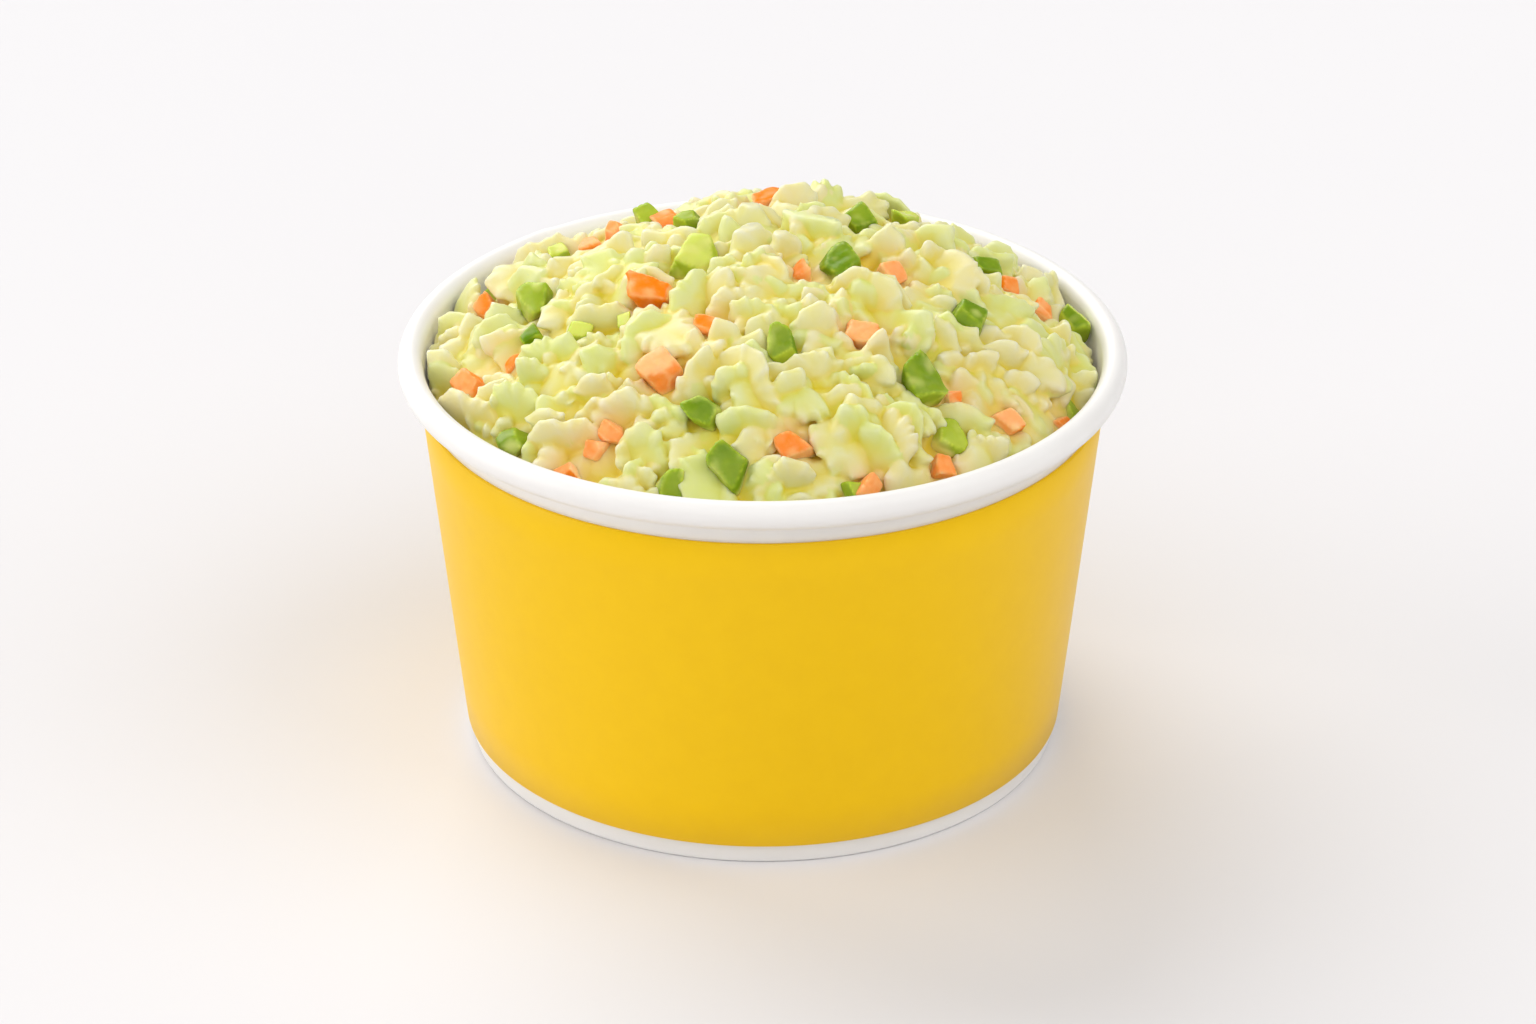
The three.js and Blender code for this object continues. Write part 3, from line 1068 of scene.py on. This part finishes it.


# The listed carrot and pepper are kept clear twice over, where they lie and a little nearer the front, so
# that the side they show isn't buried.
strewn_margin = 2.0 * mm
front_margin = 1.5 * mm
dome_form = turned_dome(heap_radius - strewn_margin, heap_top, 36, 120)
dome = add_piece("strewing_dome", *dome_form, cabbage_flesh)
laid_points, laid_triangles = joined([(part[0], ball_triangles) for part in carrots + peppers])
to_front = np.array((0, -math.cos(camera_tilt), math.sin(camera_tilt)))
kept_clear = joined([(laid_points + step * to_front, laid_triangles) for step in (0, front_margin)])
hand_laid = add_piece("laid_by_hand", *kept_clear, cabbage_flesh)

bit_points = len(pale_bits.objects[0].data.vertices)
back_of_crown = 24 * mm
cover_depth = 16 * mm
cover_share = 0.1  # of a die's size, how near the middle of its face a bit may not reach


def covering(bits):
    """Which bits lie over the face that a die of carrot or pepper turns to the front. The dice behind
    the crown turn none to it."""
    hiding = np.zeros(len(bits), bool)
    for die, *_ in carrots + peppers:
        middle = die.mean(axis=0)
        if middle[1] > back_of_crown:
            continue
        offset = bits - middle
        along = offset @ to_front
        across = np.linalg.norm(offset - along[..., None] * to_front, axis=-1)
        over = (along > 0) & (along < cover_depth) & (across < cover_share * np.ptp(die, axis=0).max())
        hiding |= over.any(axis=1)
    return hiding


# Each kind of bit has its spacing, most tilt, highest and lowest place, palest and greenest tone, and
# seed.
strewn_parts, strewn_tones = [], []
for bits, spacing, tilt, high, low, tone_from, tone_to, seed in (
    (pale_bits, 2.7 * mm, 0.7, 1.1 * mm, -1.4 * mm, 0.0, 0.35, 3),
    (green_bits, 3.4 * mm, 0.7, 1.1 * mm, -1.4 * mm, 0.65, 1.0, 8),
    (small_bits, 2.6 * mm, 0.9, 0.4 * mm, -0.8 * mm, 0.0, 1.0, 5),
):
    mesh = with_nodes(
        dome,
        scatter,
        {
            "Bits": bits,
            "Keep clear of": hand_laid,
            "Clearance": 1.0 * mm,
            "Nest reach": 4.5 * mm,
            "Nest depth": 0.8 * mm,
            "Spacing": spacing,
            "Most to the square metre": 4.0e5,
            "Most tilt": tilt,
            "Most roll": 0.25,
            "Lean": (0.0, -0.9, 0.0),
            "Turning starts at": 20 * mm,
            "Turning ends at": 32 * mm,
            "Smallest": 0.75,
            "Largest": 1.15,
            "Highest": high,
            "Lowest": low,
            "Seed": seed,
            "Finish": cabbage_flesh,
        },
    )
    points, triangles = mesh_arrays(mesh)
    clear = ~covering(points.reshape(-1, bit_points, 3))
    triangles = triangles[np.repeat(clear, bit_points)[triangles[:, 0]]]
    strewn_parts.append((kept_inside(points), triangles))
    tones = read_attribute(mesh, "tone")[triangles[:, 0]]
    strewn_tones.append(tone_from + (tone_to - tone_from) * tones)
bpy.data.objects.remove(dome)
bpy.data.objects.remove(hand_laid)

# The bits are fused with a lumpy core of salad, whose underside is far below anything seen.
core_sink = 0.7 * mm
core_lumps = 0.9 * mm
core_lump_pitch = 3.2 * mm
core_bottom = 44 * mm
core_tone = 0.3
core_spokes = 180
skin_cell = 0.25 * mm


def core_top(x, y):
    lump = 2 * noise.noise(Vector((x, y, 0)) / core_lump_pitch)
    return float(heap_top(x, y)) - core_sink + core_lumps * lump


core_radius = wall_inside(heap_edge - core_sink) - heap_gap
core_points, core_triangles = turned_dome(core_radius, core_top, 50, core_spokes)
base_r = wall_inside(core_bottom) - heap_gap
base_ring = [
    (base_r * math.cos(a), base_r * math.sin(a), core_bottom)
    for a in np.linspace(0, 2 * math.pi, core_spokes, endpoint=False)
]
base_row = len(core_points)
core_points = np.concatenate([core_points, base_ring, [(0, 0, core_bottom)]])
core_sides = ring_faces([base_row - core_spokes, base_row], core_spokes)
core_base = bottom_faces(len(core_points) - 1, base_row, core_spokes)
core = (core_points, np.concatenate([core_triangles, core_sides, core_base]))

cabbage = add_piece("cabbage", *joined([*strewn_parts, core]), cabbage_flesh)
strewn_lookup = BVHTree.FromObject(cabbage, bpy.context.evaluated_depsgraph_get())
strewn_tones = np.concatenate([*strewn_tones, np.full(len(core[1]), core_tone)])
skin = cabbage.modifiers.new("skin", "REMESH")
skin.mode, skin.voxel_size = "VOXEL", skin_cell
fused = evaluated_mesh(cabbage)
cabbage.modifiers.remove(skin)
cabbage.data = fused

# The skin is left in one piece, without the pockets inside it, and gets low knobs. They stand full
# height in patches and at a fifth of that between them.
knob_patch = 6.25 * mm
knobs = bpy.data.node_groups.new("Knobby skin", "GeometryNodeTree")
for name, kind in (
    ("Skin", "NodeSocketGeometry"),
    ("Smallest island", "NodeSocketInt"),
    ("Knob size", "NodeSocketFloat"),
    ("Knob height", "NodeSocketFloat"),
    ("Finish", "NodeSocketMaterial"),
):
    knobs.interface.new_socket(name, in_out="INPUT", socket_type=kind)
knobs.interface.new_socket("Knobby", in_out="OUTPUT", socket_type="NodeSocketGeometry")
given = add_node(knobs, "NodeGroupInput").outputs
island = add_node(knobs, "GeometryNodeInputMeshIsland")
counted = add_node(
    knobs,
    "GeometryNodeAccumulateField",
    {"Value": 1, "Group ID": island.outputs["Island Index"]},
    data_type="INT",
    domain="POINT",
)
small = add_node(
    knobs,
    "FunctionNodeCompare",
    {2: counted.outputs["Total"], 3: given["Smallest island"]},
    data_type="INT",
    operation="LESS_THAN",
)
outer = add_node(
    knobs,
    "GeometryNodeDeleteGeometry",
    {"Geometry": given["Skin"], "Selection": small.outputs[0]},
    domain="POINT",
)
place = add_node(knobs, "GeometryNodeInputPosition")
pitch = add_node(knobs, "ShaderNodeMath", {0: 1.0, 1: given["Knob size"]}, operation="DIVIDE")
cells = add_node(
    knobs,
    "ShaderNodeTexVoronoi",
    {"Vector": place.outputs[0], "Scale": pitch.outputs[0], "Smoothness": 0.25},
    feature="SMOOTH_F1",
)
raised = add_node(knobs, "ShaderNodeMath", {0: 0.5, 1: cells.outputs["Distance"]}, operation="SUBTRACT")
patches = add_node(
    knobs, "ShaderNodeTexNoise", {"Vector": place.outputs[0], "Scale": 1 / knob_patch, "Detail": 1.0}
)
where = add_node(
    knobs, "ShaderNodeMapRange", {"Value": patches.outputs[0], 1: 0.35, 2: 0.6, 3: 0.2, 4: 1.0}
)
height = add_node(
    knobs, "ShaderNodeMath", {0: raised.outputs[0], 1: given["Knob height"]}, operation="MULTIPLY"
)
masked = add_node(
    knobs, "ShaderNodeMath", {0: height.outputs[0], 1: where.outputs[0]}, operation="MULTIPLY"
)
facing = add_node(knobs, "GeometryNodeInputNormal")
outwards = add_node(
    knobs,
    "ShaderNodeVectorMath",
    {0: facing.outputs[0], "Scale": masked.outputs[0]},
    operation="SCALE",
)
moved = add_node(
    knobs, "GeometryNodeSetPosition", {"Geometry": outer.outputs[0], "Offset": outwards.outputs[0]}
)
painted = add_node(
    knobs, "GeometryNodeSetMaterial", {"Geometry": moved.outputs[0], "Material": given["Finish"]}
)
done = add_node(knobs, "NodeGroupOutput")
knobs.links.new(painted.outputs[0], done.inputs[0])
cabbage.data = with_nodes(
    cabbage,
    knobs,
    {
        "Smallest island": len(fused.vertices) // 3,
        "Knob size": 2.8 * mm,
        "Knob height": 0.15 * mm,
        "Finish": cabbage_flesh,
    },
)


def normal_array(mesh):
    normals = np.empty(len(mesh.vertices) * 3)
    mesh.vertex_normals.foreach_get("vector", normals)
    return normals.reshape(-1, 3)


def averager(mesh):
    """A function that gives the mean of each vertex's neighbours, of an array of points."""
    edges = np.empty(len(mesh.edges) * 2, int)
    mesh.edges.foreach_get("vertices", edges)
    a, b = edges.reshape(-1, 2).T
    count = len(mesh.vertices)
    neighbours = np.bincount(edges, minlength=count)

    def mean(points):
        sums = [np.bincount(a, points[b, k], count) + np.bincount(b, points[a, k], count) for k in range(3)]
        return np.stack(sums, -1) / neighbours[:, None]

    return mean


def settle(mesh, rounds, fill, soften):
    """Lets dressing settle: hollows fill at one rate, and crests soften at a lower one."""
    mean = averager(mesh)
    for _ in range(rounds):
        points = point_array(mesh)
        pull = mean(points) - points
        hollow = np.einsum("ij,ij->i", pull, normal_array(mesh)) > 0
        points += np.where(hollow, fill, soften)[:, None] * pull
        mesh.vertices.foreach_set("co", points.ravel())
        mesh.update()


most_triangles = 195_000

settle(cabbage.data, rounds=3, fill=0.4, soften=0.02)
points = kept_inside(point_array(cabbage.data))
cabbage.data.vertices.foreach_set("co", points.ravel())
thinned = cabbage.modifiers.new("thinned", "DECIMATE")
thinned.ratio = min(1.0, most_triangles / (2 * len(cabbage.data.polygons)))
cabbage.data = evaluated_mesh(cabbage)
cabbage.modifiers.remove(thinned)
cabbage.data.shade_smooth()


def sunkenness(mesh, rounds, depth):
    """0 on crests to 1 in hollows: how far each point lies under the skin once that is smoothed."""
    mean = averager(mesh)
    points = point_array(mesh)
    smooth = points
    for _ in range(rounds):
        smooth = mean(smooth)
    proud = np.einsum("ij,ij->i", points - smooth, normal_array(mesh))
    return np.clip(0.5 - 0.5 * proud / depth, 0, 1)


# Small hollows lie between the ridges of a scrap and wide ones between the scraps, and both are painted
# darker and yellower as painted shade. The skin is also painted darker, as painted shade, from depth_start
# over the heap's mean surface down through depth_range.
small_hollow = 0.45 * mm
wide_hollow = 1.1 * mm
depth_start = 0.4 * mm
depth_range = 3.4 * mm
blush_reach = 3.4 * mm
most_blush = 0.45

points = point_array(cabbage.data)
tones = strewn_tones[[strewn_lookup.find_nearest(p)[2] for p in points]]
# Painted shade: the wide hollows between scraps and the points low under the heap's mean surface are marked
# to be darkened.
crevice_shading = np.clip(1.7 * sunkenness(cabbage.data, 40, wide_hollow) - 0.7, 0, 1)
under = heap_top(points[:, 0], points[:, 1]) - points[:, 2]
below = np.clip((under + depth_start) / depth_range, 0, 1)
to_carrot = np.full(len(points), 1.0)
for x, y, *_ in carrot_dice:
    spot = np.array((x * mm, y * mm, heap_top(x * mm, y * mm)))
    to_carrot = np.minimum(to_carrot, np.linalg.norm(points - spot, axis=1))
write_attribute(cabbage.data, "tone", tones)
# The next two attributes carry painted shade: the material darkens and yellows the skin by them.
write_attribute(cabbage.data, "hollow", sunkenness(cabbage.data, 6, small_hollow))
write_attribute(cabbage.data, "deep", 0.9 * crevice_shading + 0.5 * below)
write_attribute(cabbage.data, "blush", most_blush * np.exp(-((to_carrot / blush_reach) ** 2)))
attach(cabbage, "root")
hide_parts("coleslaw")
